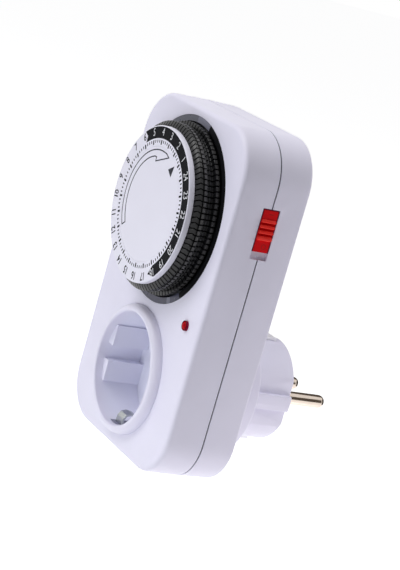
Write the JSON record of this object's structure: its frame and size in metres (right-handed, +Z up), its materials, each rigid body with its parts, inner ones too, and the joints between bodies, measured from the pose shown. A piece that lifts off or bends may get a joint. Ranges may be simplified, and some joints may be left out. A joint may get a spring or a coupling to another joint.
{
  "type": "plug-in timer switch",
  "caption": "Rectangular plug-in mechanical timer switch with a round dial of push-down tappets, an earthed socket below it, a side slider and a plug on its back.",
  "frame": {"origin": "centre of the plug's contact face, where it meets the wall socket", "axes": "+Y into the wall, along the plug's pins; +Z up, along the housing; +X to the viewer's right when facing the dial"},
  "size_m": [0.0776, 0.0856, 0.122],
  "materials": {
    "body": "satin white moulding",
    "label": "printed white label",
    "dial": "satin black moulding",
    "recess": "dark slate moulding",
    "slider": "satin red moulding",
    "lens": "clear red",
    "pins": "nickel-plated brass",
    "earth": "spring steel, plated",
    "brass": "pressed brass",
    "screws": "zinc-plated steel",
    "motor": "plated steel can",
    "gears": "natural acetal",
    "board": "green laminate",
    "resistor": "lacquered ceramic",
    "leads": "insulated wire"
  },
  "bodies": {
    "housing": {"front_shell": "body", "rear_shell": "body", "plug_body": "body", "socket_cup": "body", "socket_floor": "body", "live_pin": "pins", "neutral_pin": "pins", "plug_earth_bracket": "earth", "socket_earth_clip": "earth", "earth_link": "brass", "live_contact": "brass", "neutral_contact": "brass", "live_busbar_in": "brass", "live_busbar_out": "brass", "neutral_busbar": "brass", "housing_screws": "screws", "dial_cup": "recess", "cup_screws": "screws", "movement_plate": "recess", "plate_screws": "screws", "motor_can": "motor", "motor_screws": "screws", "idler_axle": "screws", "dial_axle": "screws", "axle_clip": "screws", "centre_disc": "label", "switch_body": "dial", "switch_terminals": "brass", "lever_pin": "screws", "detent_spring": "screws", "lamp_lens": "lens", "lamp_board": "board", "lamp_resistor": "resistor", "lamp_leads": "leads", "motor_leads": "leads"},
    "dial": {"dial_drum": "dial", "hour_ring": "label", "dial_gear": "gears", "clutch_spring": "screws", "clutch_clip": "screws"},
    "idler": {"idler_gear": "gears"},
    "motor_pinion": {"motor_pinion": "gears"},
    "switch_lever": {"switch_lever": "screws"},
    "switch_plunger": {"switch_plunger": "slider"},
    "override_slider": {"override_slider": "slider"},
    "tappets_01": {"tappets_01": "dial"},
    "tappets_02": {"tappets_02": "dial"},
    "tappets_03": {"tappets_03": "dial"},
    "tappets_04": {"tappets_04": "dial"},
    "tappets_05": {"tappets_05": "dial"},
    "tappets_06": {"tappets_06": "dial"},
    "tappets_07": {"tappets_07": "dial"},
    "tappets_08": {"tappets_08": "dial"},
    "tappets_09": {"tappets_09": "dial"},
    "tappets_10": {"tappets_10": "dial"},
    "tappets_11": {"tappets_11": "dial"},
    "tappets_12": {"tappets_12": "dial"}
  },
  "joints": [
    {"name": "dial_turn", "type": "hinge", "parent": "housing", "child": "dial", "pos_m": [0, -0.05, 0.0583], "axis": [0, 1, 0], "continuous": true},
    {"name": "idler_turn", "type": "hinge", "parent": "housing", "child": "idler", "pos_m": [-0.0105, -0.046, 0.07649], "axis": [0, 1, 0], "continuous": true},
    {"name": "motor_turn", "type": "hinge", "parent": "housing", "child": "motor_pinion", "pos_m": [-0.01311, -0.045, 0.06171], "axis": [0, 1, 0], "continuous": true},
    {"name": "tappets_01_slide", "type": "slide", "parent": "dial", "child": "tappets_01", "axis": [0, 1, 0], "range_m": [0, 0.0025]},
    {"name": "tappets_02_slide", "type": "slide", "parent": "dial", "child": "tappets_02", "axis": [0, 1, 0], "range_m": [0, 0.0025]},
    {"name": "tappets_03_slide", "type": "slide", "parent": "dial", "child": "tappets_03", "axis": [0, 1, 0], "range_m": [0, 0.0025]},
    {"name": "tappets_04_slide", "type": "slide", "parent": "dial", "child": "tappets_04", "axis": [0, 1, 0], "range_m": [0, 0.0025]},
    {"name": "tappets_05_slide", "type": "slide", "parent": "dial", "child": "tappets_05", "axis": [0, 1, 0], "range_m": [0, 0.0025]},
    {"name": "tappets_06_slide", "type": "slide", "parent": "dial", "child": "tappets_06", "axis": [0, 1, 0], "range_m": [0, 0.0025]},
    {"name": "tappets_07_slide", "type": "slide", "parent": "dial", "child": "tappets_07", "axis": [0, 1, 0], "range_m": [0, 0.0025]},
    {"name": "tappets_08_slide", "type": "slide", "parent": "dial", "child": "tappets_08", "axis": [0, 1, 0], "range_m": [0, 0.0025]},
    {"name": "tappets_09_slide", "type": "slide", "parent": "dial", "child": "tappets_09", "axis": [0, 1, 0], "range_m": [0, 0.0025]},
    {"name": "tappets_10_slide", "type": "slide", "parent": "dial", "child": "tappets_10", "axis": [0, 1, 0], "range_m": [0, 0.0025]},
    {"name": "tappets_11_slide", "type": "slide", "parent": "dial", "child": "tappets_11", "axis": [0, 1, 0], "range_m": [0, 0.0025]},
    {"name": "tappets_12_slide", "type": "slide", "parent": "dial", "child": "tappets_12", "axis": [0, 1, 0], "range_m": [0, 0.0025]},
    {"name": "lever_tilt", "type": "hinge", "parent": "housing", "child": "switch_lever", "pos_m": [0.0135, -0.0472, 0.0293], "axis": [0, 0, -1], "range_deg": [0, 3.4]},
    {"name": "plunger_slide", "type": "slide", "parent": "housing", "child": "switch_plunger", "axis": [0, 1, 0], "range_m": [0, 0.0006]},
    {"name": "override_slide", "type": "slide", "parent": "housing", "child": "override_slider", "axis": [0, 0, 1], "range_m": [-0.0025, 0]}
  ],
  "couplings": [
    {"joint": "idler_turn", "follows": "dial_turn", "ratio": -6},
    {"joint": "motor_turn", "follows": "dial_turn", "ratio": 24},
    {"joint": "lever_tilt", "follows": "tappets_01_slide", "rad_per_m": 22.38},
    {"joint": "plunger_slide", "follows": "tappets_01_slide", "ratio": 0.2}
  ]
}
